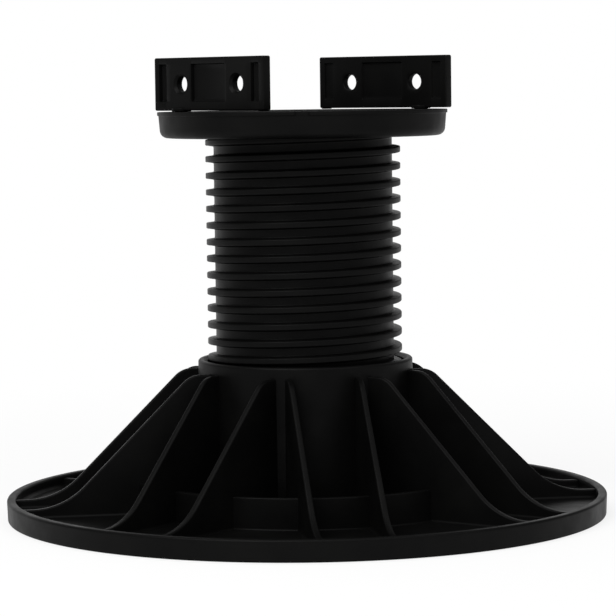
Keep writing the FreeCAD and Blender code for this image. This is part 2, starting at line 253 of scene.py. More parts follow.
class HeadSizes(bpy.types.PropertyGroup):
    """Round head with its skirt, ribs and snap spigot."""

    top: length("Top", HEAD_TOP.z / MM, "Seat of the joist above the floor")
    radius: length("Radius", HEAD_TOP.x / MM, "Widest reach of the head")
    thickness: length("Thickness", 8.6, "From the seat to the skirt's lower edge")
    plate: length("Plate", 3, "Thickness of the seat")
    skirt: length("Skirt", 3, "Thickness of the skirt")
    lip_height: length("Lip height", 1.2, "Height of the fine lip at the seat's edge")
    lip_overhang: length("Lip overhang", 0.4, "How far that lip stands out")
    draft: length("Draft", 0.6, "How far the skirt leans in at its lower edge")
    lower_radius: length("Lower radius", 2.6, "Rounding of the skirt's lower edge")
    notch_angle: angle("Notch angle", -47, "Direction of the index notch in the lip")
    notch_width: length("Notch width", 4.2, "Width of the index notch")
    notch_depth: length("Notch depth", 0.6, "How deep the index notch goes")
    ribs: whole_number("Ribs", 8, "Ribs under the seat")
    rib_thickness: length("Rib thickness", 2, "Thickness of the ribs under the seat")
    rib_depth: length("Rib depth", 4.6, "How far those ribs hang below the seat")
    rib_clearance: length("Rib clearance", 1.2, "Gap between those ribs and the thread")
    swivel_clearance: length("Swivel clearance", 0.3, "Gap round the pegs that swivel in the seat")
    spigot_clearance: length("Spigot clearance", 0.5, "Gap between snap fingers and spindle")
    spigot_wall: length("Spigot wall", 2.2, "Thickness of the snap fingers")
    spigot_catch: length("Spigot catch", 1.2, "How far the fingers hook under the lip")
    spigot_tip: length("Spigot tip", 3.4, "Length of the fingers below their hook")
    spigot_slots: whole_number("Slots", 6, "Slots between the fingers")
    slot_width: length("Slot width", 3, "Width of those slots")
    slot_stop: length("Slot stop", 1.2, "How far below the seat's underside the slots end")


class LugSizes(bpy.types.PropertyGroup):
    """Joist lugs, each a framed plate on a split peg."""

    length: length("Length", 53.8, "Length of the plate")
    thickness: length("Thickness", 3.2, "Thickness of the plate")
    height: length("Height", 17.4, "Height of the plate")
    top: length("Top", LUG_TOP / MM, "Upper edge above the floor")
    corner_radius: length("Corner radius", 0.6, "Rounding of the plate's corners")
    edge_radius: length("Edge radius", 0.4, "Rounding of the plate's edges")
    top_frame: length("Top frame", 2.2, "Frame above the pockets")
    bottom_frame: length("Bottom frame", 3, "Frame below the pockets")
    end_frame: length("End frame", 2.4, "Frame at the plate's ends")
    end_pocket: length("End pocket", 3.6, "Length of the pocket at each end")
    centre_pocket: length("Centre pocket", 16.6, "Length of the middle pocket")
    outer_depth: length("Outer depth", 1.5, "Depth of the pockets on the outer face")
    inner_depth: length("Inner depth", 0.6, "Depth of the pockets on the inner face")
    hole_radius: length("Hole radius", 2.65, "Radius of the screw holes")
    sink_radius: length("Sink radius", 3.45, "Radius of their countersinks")
    hole_spacing: length("Hole spacing", 27.5, "Distance between the screw holes")
    peg_to_centre: length("Peg to centre", 15.2, "From the peg to the plate's middle")
    foot_length: length("Foot length", 2.4, "Length of the small foot at the inner end")
    pad_radius: length("Pad radius", 3.2, "Pad between the plate and the seat")
    pad_clearance: length("Pad clearance", 0.2, "Gap between pad and seat")
    peg_radius: length("Peg radius", 2.3, "Radius of the peg")
    peg_catch: length("Peg catch", 0.7, "How far the peg hooks under the seat")
    peg_tip: length("Peg tip", 2.4, "Length of the peg below the seat")
    peg_slot: length("Peg slot", 1, "Slot that splits the peg")


class PlasticFinish(bpy.types.PropertyGroup):
    """Colour and surface of the moulded plastic."""

    colour: tint("Colour", (0.0022, 0.0022, 0.0022), "Colour of the plastic")
    bloom: tint("Bloom", (0.0045, 0.0045, 0.0042), "Colour of its faint greyish cast")
    roughness: factor("Roughness", 0.44, "Roughness of a plain moulded face")
    specular: factor("Specular", 0.068, "Strength of its mirror reflection")
    patch: length("Patch", 22, "Size of the patches of that cast")
    drift: length("Drift", 9, "Size of the areas that differ in gloss")
    grain: length("Grain", 0.45, "Size of the fine grain left by the mould")
    grain_depth: length("Grain depth", 0.012, "Depth of that grain")


class StageSettings(bpy.types.PropertyGroup):
    """Floor, light and camera."""

    floor_colour: tint("Floor", (1, 1, 1), "Colour of the floor and background")
    floor_reach: length("Floor reach", 4000, "From the middle of the floor to each of its sides")
    floor_drop: length("Floor drop", 0.2, "How far the floor lies below the part")
    resting_gap: length("Resting gap", 1, "Gap in which the floor is clear to what rests on it")
    whiteness: factor("Whiteness", 0.8, "Share of plain white in the floor")
    shadow_span: FloatVectorProperty(name="Shadow span", unit="LENGTH", size=2,
                                     description="Distances over which the shadow fades",
                                     default=(0.1, 0.45))
    backdrop: brightness("Backdrop", 0.9, "Level of the light from straight behind")
    backdrop_turn: angle("Backdrop turn", 14, "How far the backdrop's middle stands to the left")
    sky: brightness("Sides", 0.3, "Level of the light from the sides and from above")
    front: brightness("Front", 0.4, "Level of the light from the camera's side")
    key: power("Key", 12.5, "Power of the softbox in front on the left")
    fill: power("Fill", 3.5, "Power of the softbox in front on the right")
    top: power("Top", 2, "Power of the softbox overhead")
    softbox_size: length("Softbox size", 1000, "Width of each softbox")
    softbox_distance: length("Softbox distance", 1400, "From the part to each softbox")
    azimuth: angle("Azimuth", 43, "Direction that the camera looks from, turned from the -Y side")
    pitch: angle("Pitch", 4.56647, "How far the camera looks down")
    roll: angle("Roll", 0.7162, "Slight turn of the camera about its own axis")
    lens: FloatProperty(name="Lens", description="Focal length", default=159.92, min=1,
                        unit="CAMERA")
    camera_place: FloatVectorProperty(name="Camera", description="Place of the camera",
                                      subtype="TRANSLATION", unit="LENGTH",
                                      default=(0.62225, -0.66567, 0.14143))


def unit(vectors):
    """Vectors divided by their lengths."""
    return vectors / np.linalg.norm(vectors, axis=-1, keepdims=True)


def smooth_step(share):
    """An even S curve from 0 to 1: three times the share's square less twice its cube."""
    share = np.clip(share, 0, 1)
    return share * share * (3 - 2 * share)


def rounded_line(corners, closed=True, steps=ARC_STEPS):
    """Line through (x, y, radius) corners, each rounded by its own radius.

    A corner's arc swings about the point on its bisector that lies one radius from both stretches,
    in even steps of angle. One more point on each stretch, just clear of the arc, keeps it flat.
    """
    corners = np.asarray(corners, float)
    points = corners[:, :2]
    radius = corners[:, 2:]
    before = unit(np.roll(points, 1, axis=0) - points)
    after = unit(np.roll(points, -1, axis=0) - points)
    half = np.arccos(np.sum(before * after, axis=1, keepdims=True)) / 2
    setback = radius / np.tan(half)
    straight = np.linalg.norm(np.roll(points, -1, axis=0) - points, axis=1, keepdims=True)
    straight = straight - setback - np.roll(setback, -1, axis=0)
    margin = np.minimum(FLAT_MARGIN, straight * FLAT_SHARE)
    centre = points + unit(before + after) * radius / np.sin(half)
    start = (points + before * setback - centre)[:, None]
    end = (points + after * setback - centre)[:, None]
    sweep = (math.pi - 2 * half)[:, None]
    share = np.linspace(0, 1, steps + 1)[None, :, None]
    swing = (np.sin((1 - share) * sweep) * start + np.sin(share * sweep) * end) / np.sin(sweep)
    lead_in = points + before * (setback + np.roll(margin, 1, axis=0))
    lead_out = points + after * (setback + margin)
    line = np.concatenate([lead_in[:, None], centre[:, None] + swing, lead_out[:, None]], axis=1)
    if closed:
        return line.reshape(-1, 2)
    return np.concatenate([points[:1], line[1:-1].reshape(-1, 2), points[-1:]])


def turn(section, angles):
    """Section of (r, h) points turned about Z: at angle a, one lies at (r cos a, r sin a, h)."""
    ring = np.stack([np.cos(angles), np.sin(angles)], axis=-1)
    plan = ring[:, None] * section[None, :, :1]
    heights = np.broadcast_to(section[None, :, 1:], plan.shape[:2] + (1,))
    return np.concatenate([plan, heights], axis=-1)


def whole_turn(steps=TURN_STEPS):
    """Even angles once round."""
    return np.arange(steps) * FULL_TURN / steps


def net_faces(rows, columns, wrap_rows=False, wrap_columns=False):
    """Four-sided faces of a grid of rows and columns, carried round to its start where asked."""
    index = np.arange(rows * columns).reshape(rows, columns)
    if wrap_rows:
        index = np.vstack([index, index[:1]])
    if wrap_columns:
        index = np.hstack([index, index[:, :1]])
    faces = [index[:-1, :-1], index[1:, :-1], index[1:, 1:], index[:-1, 1:]]
    return np.stack(faces, axis=-1).reshape(-1, 4)


def signed_volume(points, polygons):
    """Volume inside equal polygons: a sixth of the triple products of their fans' triangles."""
    first = points[polygons[:, 0]][:, None]
    fan = np.cross(points[polygons[:, 1:-1]], points[polygons[:, 2:]])
    return np.sum(first * fan) / 6


def shell(points, quads, caps=()):
    """A closed shell whose faces look outwards: all are turned over if its volume is negative."""
    points = points.reshape(-1, 3)
    polygons = [quads] + [np.asarray(cap)[None] for cap in caps]
    volume = sum(signed_volume(points, group) for group in polygons)
    if volume < 0:
        polygons = [group[:, ::-1] for group in polygons]
    return points, polygons


def ring_shell(section, steps=TURN_STEPS):
    """A closed section turned once round."""
    net = turn(section, whole_turn(steps))
    return shell(net, net_faces(net.shape[0], net.shape[1], True, True))


def swept_shell(net):
    """Rows of a closed section carried along a path, with a cap on the first row and the last."""
    rows, columns = net.shape[:2]
    index = np.arange(rows * columns).reshape(rows, columns)
    return shell(net, net_faces(rows, columns, wrap_columns=True), (index[0], index[-1, ::-1]))


def bar_shell(x_range, y_range, z_range, rounding):
    """A straight bar along X whose section is a rounded rectangle."""
    (y_low, y_high), (z_low, z_high) = y_range, z_range
    corners = [(y_low, z_low), (y_high, z_low), (y_high, z_high), (y_low, z_high)]
    section = rounded_line([corner + (rounding,) for corner in corners], steps=FEW_STEPS)
    ends = np.asarray(x_range)[:, None, None]
    along = np.broadcast_to(ends, (2, len(section), 1))
    across = np.broadcast_to(section[None], (2,) + section.shape)
    return swept_shell(np.concatenate([along, across], axis=-1))


def wind(section, start_height, turns, pitch, sunk_radius, run_out):
    """A section of (radius, height) wound right-handed: it rises by the pitch in a full turn.

    Towards both ends its radii fade to the sunk radius within the run-out angle.
    """
    angles = np.linspace(0, turns * FULL_TURN, int(turns * THREAD_STEPS) + 1)
    risen = smooth_step(np.minimum(angles, angles[-1] - angles) / run_out)
    fade = END_SHARE + (1 - END_SHARE) * risen
    radii = sunk_radius + (section[None, :, 0] - sunk_radius) * fade[:, None]
    heights = start_height + pitch * angles[:, None] / FULL_TURN + section[None, :, 1]
    ring = np.stack([np.cos(angles), np.sin(angles)], axis=-1)
    plan = ring[:, None] * radii[..., None]
    return np.concatenate([plan, heights[..., None]], axis=-1)


def turned_shell(made, bearing, place=(0, 0, 0)):
    """A shell turned about Z by the bearing and then moved."""
    points, polygons = made
    cosine, sine = math.cos(bearing), math.sin(bearing)
    matrix = np.array([[cosine, -sine, 0], [sine, cosine, 0], [0, 0, 1]])
    return points @ matrix.T + np.asarray(place), polygons


def make_piece(name, body, shells):
    """One object from closed shells, which rides on its body and stands for that body's node."""
    slot, *plastic_traits = PLASTICS[body]
    points = np.concatenate([made[0] for made in shells])
    faces = []
    start = 0
    for shell_points, polygons in shells:
        for group in polygons:
            faces += (start + group).tolist()
        start += len(shell_points)
    mesh = bpy.data.meshes.new(name)
    mesh.from_pydata(points.tolist(), [], faces)
    mesh.polygons.foreach_set("use_smooth", np.ones(len(mesh.polygons), bool))
    mesh.set_sharp_from_angle(angle=SHARP_ANGLE)
    mesh.materials.append(plastic(*plastic_traits))
    piece = bpy.data.objects.new(name, mesh)
    bpy.context.scene.collection.objects.link(piece)
    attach(piece, body)
    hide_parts(body)


def foot_shell(foot):
    """Foot plate, rim and barrel: one rounded section turned about the screw axis."""
    foot_radius = foot.rim_radius - foot.rim_flare
    bore = foot.barrel_radius - foot.barrel_wall
    return ring_shell(rounded_line([
        (bore, 0, SOFT_EDGE),
        (foot_radius, 0, SOFT_EDGE),
        (foot.rim_radius, foot.rim_height, foot.rim_edge),
        (foot.rim_radius - foot.rim_wall, foot.rim_height, foot.rim_edge),
        (foot_radius - foot.rim_wall, foot.plate, foot.plate_corner),
        (foot.barrel_radius, foot.plate, foot.plate_corner),
        (foot.barrel_radius, foot.barrel_top, foot.barrel_edge),
        (bore + foot.lead_in, foot.barrel_top, SMALL_EDGE),
        (bore, foot.barrel_top - foot.lead_in, SMALL_EDGE),
    ]))


def brace_shell(foot):
    """Brace ring: a rounded wall turned about the screw axis, sunk halfway into the plate."""
    inner = foot.brace_radius - foot.brace_wall
    sunk = foot.plate / 2
    surface = foot.plate + SKIN
    apron = foot.brace_fillet
    hollow = HOLLOW_SHARE * foot.brace_fillet
    return ring_shell(rounded_line([
        (inner - apron, sunk, FINE_EDGE),
        (foot.brace_radius + apron, sunk, FINE_EDGE),
        (foot.brace_radius + apron, surface, HAIR),
        (foot.brace_radius, surface, hollow),
        (foot.brace_radius, foot.brace_top, SOFT_EDGE),
        (inner, foot.brace_top, SOFT_EDGE),
        (inner, surface, hollow),
        (inner - apron, surface, HAIR),
    ]))


def rib_shell(ribs, foot):
    """One rib along X: its rounded upper edge carried from barrel to rim, its sides hung below.

    At each step of the edge line the section climbs one side, rounds two quarter circles set square
    to the line, and comes down the other side. The sides lean out by the draft, and end in a hollow
    quarter circle on the foot plate.
    """
    wall_middle = foot.barrel_radius - foot.barrel_wall / 2
    rim_middle = foot.rim_radius - foot.rim_flare - foot.rim_wall / 2
    line = rounded_line([
        (math.sqrt(wall_middle ** 2 - ribs.half_gap ** 2), ribs.shoulder_height, 0),
        (ribs.shoulder_reach, ribs.shoulder_height, ribs.shoulder_radius),
        (ribs.foot_reach, ribs.foot_height, ribs.foot_radius),
        (math.sqrt(rim_middle ** 2 - ribs.half_gap ** 2), ribs.foot_height, 0),
    ], closed=False, steps=LINE_STEPS)
    tangent = unit(np.gradient(line, axis=0))
    normal = np.stack([-tangent[:, 1], tangent[:, 0]], axis=-1)
    edge = ribs.edge_radius
    core = line - normal * edge
    lean = math.tan(ribs.draft)
    half_at_edge = ribs.thickness / 2 + lean * (ribs.shoulder_height - core[:, 1])
    half_at_foot = ribs.thickness / 2 + lean * (ribs.shoulder_height - foot.plate)

    quarter = np.linspace(0, math.pi / 2, ARC_STEPS + 1)
    over = edge * np.sin(quarter)
    edge_x = core[:, None, 0] + normal[:, None, 0] * over
    edge_z = core[:, None, 1] + normal[:, None, 1] * over
    edge_y = half_at_edge[:, None] - edge + edge * np.cos(quarter)

    fillet = ribs.root_fillet
    root_y = half_at_foot + fillet - fillet * np.sin(quarter)
    root_z = foot.plate + fillet - fillet * np.cos(quarter)
    root_y = np.concatenate([root_y[:1], root_y])
    root_z = np.concatenate([[foot.plate / 2], root_z])
    rows = len(line)
    root_x = np.broadcast_to(core[:, :1], (rows, len(root_y)))
    side_x = np.hstack([root_x, edge_x])
    side_y = np.hstack([np.broadcast_to(root_y, root_x.shape), edge_y])
    side_z = np.hstack([np.broadcast_to(root_z, root_x.shape), edge_z])
    left = np.stack([side_x, -side_y, side_z], axis=-1)
    right = np.stack([side_x, side_y, side_z], axis=-1)[:, ::-1]
    return swept_shell(np.concatenate([left, right], axis=1))


def all_ribs(ribs, foot):
    """The rib set either side of each pair's middle line, all round the barrel."""
    one = rib_shell(ribs, foot)
    shells = []
    for index in range(ribs.pairs):
        direction = ribs.first_angle + index * FULL_TURN / ribs.pairs
        for side in (-1, 1):
            aside = turned_shell(one, 0, (0, side * ribs.half_gap, 0))
            shells.append(turned_shell(aside, direction))
    return shells


def screw_core_shell(screw):
    """Spindle without its thread: a tube's section, with a lip at its top, turned about Z."""
    root = screw.crest_radius - screw.depth
    bore = root - screw.wall
    lip = bore - screw.lip_width
    under_lip = screw.top - screw.lip_thickness
    return ring_shell(rounded_line([
        (bore, screw.bottom, SMALL_EDGE),
        (root - screw.end_chamfer, screw.bottom, FINE_EDGE),
        (root, screw.bottom + screw.end_chamfer, SMALL_EDGE),
        (root, screw.top, SOFT_EDGE),
        (lip, screw.top, SOFT_EDGE),
        (lip, under_lip, SMALL_EDGE),
        (bore, under_lip, SOFT_EDGE),
    ]))


def screw_thread_shell(screw):
    """Outer thread: a rounded trapezoid with hollow root fillets, wound up the spindle."""
    root = screw.crest_radius - screw.depth
    surface = root + SKIN
    sunk = root - screw.rooting
    apron = screw.foot_width / 2 + APRON_SHARE * screw.root_fillet
    half = [
        (sunk, apron, HAIR),
        (surface, apron, HAIR),
        (surface, screw.foot_width / 2, screw.root_fillet),
        (screw.crest_radius, screw.crest_width / 2, screw.crest_rounding),
    ]
    other_half = [(radius, -height, rounding) for radius, height, rounding in half[::-1]]
    section = rounded_line(half + other_half, steps=THREAD_ARC_STEPS)
    start = screw.bottom + screw.thread_start
    turns = (screw.top - screw.thread_stop - start) / screw.pitch
    return swept_shell(wind(section, start, turns, screw.pitch, sunk, screw.run_out))


def barrel_thread_shell(screw, foot):
    """Barrel's inner thread: a trapezoid wound in the outer one's groove, clear of it all round."""
    bore = foot.barrel_radius - foot.barrel_wall
    tip = screw.crest_radius - screw.depth + screw.clearance
    sunk = bore + screw.rooting
    tip_half = (screw.pitch - screw.foot_width) / 2 - screw.clearance
    wall_half = (screw.pitch - screw.crest_width) / 2 - screw.clearance
    section = rounded_line([
        (sunk, wall_half, HAIR),
        (tip, tip_half, FINE_EDGE),
        (tip, -tip_half, FINE_EDGE),
        (sunk, -wall_half, HAIR),
    ], steps=THREAD_ARC_STEPS)
    start = screw.bottom + screw.thread_start + screw.pitch / 2
    turns = (foot.barrel_top - foot.lead_in - screw.mouth_margin - start) / screw.pitch
    return swept_shell(wind(section, start, turns, screw.pitch, sunk, screw.run_out))


def draw_round(plan, kept, starts, centre, ring_radii):
    """Grid nodes round a hole drawn onto circles, and the faces inside it no longer kept.

    From the hole's ring outwards each ring of the block first takes the circle radius given for it.
    The rings left over pass evenly from the last circle to the block's own square edge. What comes
    back is the block, and how many rings each of its nodes lies from the middle.
    """
    block = tuple(slice(start, start + BLOCK_SPAN) for start in starts)
    steps = np.abs(np.arange(-BLOCK_RINGS, BLOCK_RINGS + 1))
    number = np.maximum(steps[:, None], steps[None, :])
    offset = plan[block] - centre
    reach = np.abs(offset).max()
    last_ring = HOLE_RING + len(ring_radii) - 1
    radius_rings = np.concatenate([[0], np.arange(HOLE_RING, last_ring + 1), [BLOCK_RINGS]])
    radii = np.interp(number, radius_rings, np.concatenate([[0], ring_radii, [reach]]))
    squareness = np.clip((number - last_ring) / (BLOCK_RINGS - last_ring), 0, 1)[..., None]
    away = np.where(np.abs(offset).max(axis=-1, keepdims=True) < WELD, 1, offset)
    plan[block] = centre + (1 - squareness) * unit(away) * radii[..., None] + squareness * offset
    inside = slice(BLOCK_RINGS - HOLE_RING, BLOCK_RINGS + HOLE_RING)
    kept[block][inside, inside] = False
    return block, number


def bridge(quads, count):
    """Side walls between a sheet and its twin: each open edge is joined to the twin's own."""
    edges = np.stack([quads, np.roll(quads, -1, axis=1)], axis=-1).reshape(-1, 2)
    code = edges[:, 0] * count + edges[:, 1]
    back = edges[:, 1] * count + edges[:, 0]
    rim = edges[~np.isin(code, back)]
    return np.stack([rim[:, 1], rim[:, 0], rim[:, 0] + count, rim[:, 1] + count], axis=-1)


def hole_lines(centre, half_size):
    """Grid lines across a block round a hole."""
    return centre + np.linspace(-half_size, half_size, BLOCK_SPAN)


def plate_lines(ends, insets, pockets, holes):
    """Grid lines across a plate, close together at its ends, its pockets' walls and its holes."""
    lines = [ends[0] + insets, ends[1] - insets]
    lines += [low + POCKET_STEPS for low, high in pockets]
    lines += [high - POCKET_STEPS for low, high in pockets]
    lines += [hole_lines(hole, BLOCK_HALF) for hole in holes]
    return np.sort(np.concatenate(lines))


def only_used(points, quads, caps=()):
    """A shell without the points that no face uses."""
    used = np.unique(np.concatenate([quads.ravel(), *caps]))
    used_caps = [np.searchsorted(used, cap) for cap in caps]
    return shell(points[used], np.searchsorted(used, quads), used_caps)


def welded(points, quads, caps):
    """A shell in which points that lie together are one."""
    rounded = np.round(points / WELD).astype(np.int64)
    first, inverse = np.unique(rounded, axis=0, return_index=True, return_inverse=True)[1:]
    inverse = inverse.ravel()
    return only_used(points[first], inverse[quads], [inverse[cap] for cap in caps])


def pocket_share(along, low, high):
    """How far inside a pocket each line is: 0 outside, 1 inside, a steep round wall between."""
    past_low = np.interp(along, low + POCKET_STEPS, POCKET_FALL)
    before_high = np.interp(-along, POCKET_STEPS - high, POCKET_FALL)
    return past_low * before_high


def lug_plate_shell(lug):
    """Lug plate about its peg: two sheets on one grid, with pockets, holes and rounded edges.

    Lines of the grid lie close together at the pockets' walls, the plate's edges and the holes.
    Each sheet is sunk by its pockets and by a quarter circle at its edge, its corners and holes are
    drawn round, and the two are joined along every open edge.
    """
    middle = lug.peg_to_centre
    bottom = lug.top - lug.height
    ends = (middle - lug.length / 2, middle + lug.length / 2)
    half_centre = lug.centre_pocket / 2
    pockets = [
        (ends[0] + lug.end_frame, ends[0] + lug.end_frame + lug.end_pocket),
        (middle - half_centre, middle + half_centre),
        (ends[1] - lug.end_frame - lug.end_pocket, ends[1] - lug.end_frame),
    ]
    pocket_heights = (bottom + lug.bottom_frame, lug.top - lug.top_frame)
    hole_height = bottom + lug.height / 2
    holes = [middle - lug.hole_spacing / 2, middle + lug.hole_spacing / 2]

    quarter = np.linspace(0, math.pi / 2, ARC_STEPS + 1)
    insets = np.append(lug.edge_radius * (1 - np.sin(quarter)), lug.corner_radius)
    x_lines = plate_lines(ends, insets, pockets, holes)
    z_lines = plate_lines((bottom, lug.top), insets, [pocket_heights], [hole_height])
    grid = np.stack(np.meshgrid(x_lines, z_lines, indexing="ij"), axis=-1)

    inset_x = np.minimum(x_lines - ends[0], ends[1] - x_lines)[:, None]
    inset_z = np.minimum(z_lines - bottom, lug.top - z_lines)[None, :]
    inset = np.clip(np.minimum(inset_x, inset_z), 0, lug.edge_radius)
    edge_fall = lug.edge_radius - np.sqrt(lug.edge_radius ** 2 - (lug.edge_radius - inset) ** 2)
    share_along = sum(pocket_share(x_lines, *pocket) for pocket in pockets)
    share = share_along[:, None] * pocket_share(z_lines, *pocket_heights)[None, :]

    past_corner = np.broadcast_arrays(lug.corner_radius - inset_x, lug.corner_radius - inset_z)
    into_corner = np.stack(past_corner, axis=-1)
    in_corner = np.all(into_corner > WELD, axis=-1, keepdims=True)
    outwards = np.sign(grid - np.array([middle, hole_height]))
    arc = unit(np.where(in_corner, into_corner, 1)) * into_corner.max(axis=-1, keepdims=True)
    grid = np.where(in_corner, grid + outwards * (arc - into_corner), grid)

    kept = np.ones((len(x_lines) - 1, len(z_lines) - 1), bool)
    z_start = np.searchsorted(z_lines, hole_height - BLOCK_HALF - WELD)
    sheets = []
    sink = lug.sink_radius - lug.hole_radius
    outer_face = (-1, lug.outer_depth, sink * SINK_STEPS)
    inner_face = (1, lug.inner_depth, HOLE_EDGE)
    for outward, pocket_depth, hole_edge in (outer_face, inner_face):
        plan = grid.copy()
        fall = edge_fall + share * pocket_depth
        for hole in holes:
            x_start = np.searchsorted(x_lines, hole - BLOCK_HALF - WELD)
            centre = np.array([hole, hole_height])
            radii = lug.hole_radius + hole_edge
            block, number = draw_round(plan, kept, (x_start, z_start), centre, radii)
            fall[block] = np.interp(number, HOLE_RING + np.arange(len(hole_edge)), hole_edge[::-1])
        depth = outward * (lug.thickness / 2 - fall)
        sheets.append(np.stack([plan[..., 0], depth, plan[..., 1]], axis=-1).reshape(-1, 3))
    outer_quads = net_faces(len(x_lines), len(z_lines))[kept.ravel()]
    count = len(sheets[0])
    quads = np.concatenate([outer_quads, outer_quads[:, ::-1] + count, bridge(outer_quads, count)])
    return only_used(np.concatenate(sheets), quads)


def split_half(profile, slot):
    """Half of a split peg: at each height the arc beyond half the slot, closed by its chord."""
    radius, height = profile.T[..., None]
    start = np.arcsin(slot / 2 / radius)
    share = np.linspace(0, 1, PEG_STEPS // 2 + 1)
    angles = start + share * (math.pi - 2 * start)
    heights = np.broadcast_to(height, angles.shape)
    net = np.stack([radius * np.cos(angles), radius * np.sin(angles), heights], axis=-1)
    return swept_shell(net)


def lug_peg_shells(lug, head):
    """Pad and split peg under a lug, turned about the peg's axis, and a bar as its small foot."""
    plate_bottom = lug.top - lug.height
    sunk = plate_bottom + 2 * SOFT_EDGE
    pad_bottom = head.top + lug.pad_clearance
    hook_top = head.top - head.plate - head.swivel_clearance
    hook = lug.peg_radius + lug.peg_catch
    tip = hook_top - lug.peg_tip
    near_axis = HAIR
    pad = ring_shell(rounded_line([
        (near_axis, pad_bottom, SKIN),
        (lug.pad_radius, pad_bottom, TINY_EDGE),
        (lug.pad_radius, sunk, TINY_EDGE),
        (near_axis, sunk, SKIN),
    ], steps=FEW_STEPS), PEG_STEPS)
    peg = rounded_line([
        (lug.peg_radius, pad_bottom + TINY_EDGE, 0),
        (lug.peg_radius, hook_top, TINY_EDGE),
        (hook, hook_top, TINY_EDGE),
        (hook, hook_top - lug.peg_catch, TINY_EDGE),
        (lug.peg_radius, tip, TINY_EDGE),
        (lug.peg_slot, tip, 0),
    ], closed=False, steps=FEW_STEPS)
    half = split_half(peg, lug.peg_slot)
    inner_end = lug.peg_to_centre + lug.length / 2 - lug.corner_radius
    across = lug.thickness / 2 - lug.edge_radius
    along = (inner_end - lug.foot_length, inner_end)
    foot = bar_shell(along, (-across, across), (pad_bottom, sunk), TINY_EDGE)
    return [pad, half, turned_shell(half, math.pi), foot]


def lug_turn(mount_name):
    """Direction of a lug, whose outer face looks along its hole's axis, or -Y when unturned."""
    x, y = MOUNTS[mount_name]["axis"][:2]
    return math.atan2(x, -y)


def seat_shell(head, lug, places):
    """Seat of the head: a top sheet and an underside on one polar grid, with a hole for each peg.

    The skirt's rounded section shares their outer loops and closes them, and a flat disc closes
    each in the middle.
    """
    ceiling = head.top - head.plate
    body_radius = head.radius - head.lip_overhang
    skirt_radius = body_radius - head.draft
    inner_radius = skirt_radius - head.skirt
    bottom = head.top - head.thickness
    rim_line = inner_radius - SOFT_EDGE
    peg_reach = np.linalg.norm(places[0][:2])
    block_angle = PEG_BLOCK_HALF / peg_reach
    peg_angles = np.sort([math.atan2(place[1], place[0]) % FULL_TURN for place in places])
    notch_half = head.notch_width / 2 / head.radius
    blocks = [hole_lines(peg, block_angle) for peg in peg_angles]
    even = whole_turn()
    clear = np.all(np.abs(even[:, None] - peg_angles[None]) > BLOCK_CLEAR * block_angle, axis=1)
    notch = head.notch_angle % FULL_TURN
    clear &= np.abs(even - notch) > NOTCH_CLEAR * notch_half
    angles = np.sort(np.concatenate(blocks + [even[clear], notch + notch_half * NOTCH_LINES]))

    centre_edge = peg_reach - CENTRE_CLEAR * PEG_BLOCK_HALF
    radii = np.concatenate([np.linspace(CENTRE_DISC, centre_edge, CENTRE_RINGS),
                            hole_lines(peg_reach, PEG_BLOCK_HALF), [rim_line]])
    plan = turn(np.stack([radii, np.zeros(len(radii))], axis=-1), angles)[..., :2]
    kept = np.ones((len(angles), len(radii) - 1), bool)
    radius_start = np.searchsorted(radii, peg_reach - PEG_BLOCK_HALF - WELD)
    hole_radius = lug.peg_radius + head.swivel_clearance
    for peg in peg_angles:
        row = np.searchsorted(angles, peg - block_angle - WELD)
        centre = peg_reach * np.array([math.cos(peg), math.sin(peg)])
        draw_round(plan, kept, (row, radius_start), centre, np.array([hole_radius]))
    flat = plan.reshape(-1, 2)
    count = len(flat)
    sheets = [np.column_stack([flat, np.full(count, height)]) for height in (head.top, ceiling)]
    top_quads = net_faces(len(angles), len(radii), wrap_rows=True)[kept.ravel()]
    walls = bridge(top_quads, count)
    hole_columns = np.arange(radius_start, radius_start + BLOCK_SPAN)
    in_hole = np.all(np.isin(walls % len(radii), hole_columns), axis=1)

    section = rounded_line([
        (rim_line, head.top, 0),
        (head.radius, head.top, FINE_EDGE),
        (head.radius, head.top - head.lip_height, TINY_EDGE),
        (body_radius, head.top - head.lip_height, TINY_EDGE),
        (skirt_radius, bottom, head.lower_radius),
        (inner_radius, bottom, SOFT_EDGE),
        (inner_radius, ceiling, SMALL_EDGE),
        (rim_line, ceiling, 0),
    ], closed=False)
    skirt = turn(section, angles)
    notched = np.abs((angles - notch + math.pi) % FULL_TURN - math.pi) < NOTCH_EDGE * notch_half
    on_lip = section[:, 1] > head.top - head.lip_height - HAIR
    lip = on_lip & (section[:, 0] > body_radius - head.notch_depth)
    past_notch = np.maximum(section[:, 0] - head.radius + head.notch_depth, 0)
    cut = 1 - NOTCH_SHARE * past_notch / section[:, 0]
    scale = np.where(notched[:, None] & lip[None], cut[None], 1)
    skirt[..., :2] *= scale[..., None]
    skirt_quads = net_faces(len(angles), len(section), wrap_rows=True)

    index = np.arange(count).reshape(len(angles), len(radii))
    middle = index[:, 0]
    points = np.concatenate(sheets + [skirt.reshape(-1, 3)])
    underside_quads = top_quads[:, ::-1] + count
    quads = np.concatenate([top_quads, underside_quads, walls[in_hole], skirt_quads + 2 * count])
    return welded(points, quads, (middle[::-1], middle + count))


def head_rib_shells(head, screw, first_angle):
    """Ribs under the seat: a bar from near the thread to mid-skirt, turned to even angles."""
    ceiling = head.top - head.plate
    inner = screw.crest_radius + head.rib_clearance
    outer = head.radius - head.lip_overhang - head.draft - head.skirt / 2
    half = head.rib_thickness / 2
    heights = (ceiling - head.rib_depth, ceiling + head.plate / 2)
    one = bar_shell((inner, outer), (-half, half), heights, SMALL_EDGE)
    step = FULL_TURN / head.ribs
    return [turned_shell(one, first_angle + index * step) for index in range(head.ribs)]


